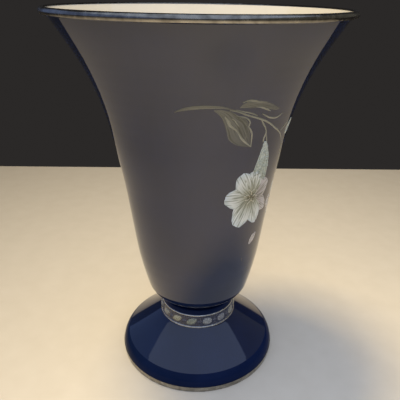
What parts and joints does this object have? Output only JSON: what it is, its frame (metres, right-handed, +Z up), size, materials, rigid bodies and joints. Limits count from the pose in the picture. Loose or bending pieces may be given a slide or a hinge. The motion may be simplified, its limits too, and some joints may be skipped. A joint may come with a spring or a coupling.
{
  "type": "footed trumpet vase",
  "caption": "Footed flower vase: a flared dark cobalt porcelain bowl with a metal rim band, bolted to a domed hollow foot with a beaded collar.",
  "frame": {"origin": "centre of the foot's contact ring, on the surface that the vase stands on", "axes": "+Z up along the turned axis of the bowl and foot; -Y faces the viewer, with the painted spray a little to its right"},
  "size_m": [0.1848, 0.1848, 0.25],
  "materials": {
    "cobalt_glaze": "gloss",
    "white_glaze": "gloss",
    "platinum": "polished",
    "raised_enamel": "satin",
    "painted_enamel": "satin",
    "fibre": "matte",
    "steel": "satin",
    "brass": "satin",
    "rubber": "matte"
  },
  "bodies": {
    "root": {"bowl": "cobalt_glaze", "foot": "cobalt_glaze", "rim_band": "platinum", "foot_band": "platinum", "neck_upper_line": "platinum", "neck_lower_line": "platinum", "bead_course": "raised_enamel", "link_course": "raised_enamel", "joint_gasket": "fibre", "seal_washer": "rubber", "head_washer": "steel", "clamp_bolt": "brass", "cushion_washer": "rubber", "nut_washer": "steel", "hex_nut": "brass"}
  },
  "joints": []
}
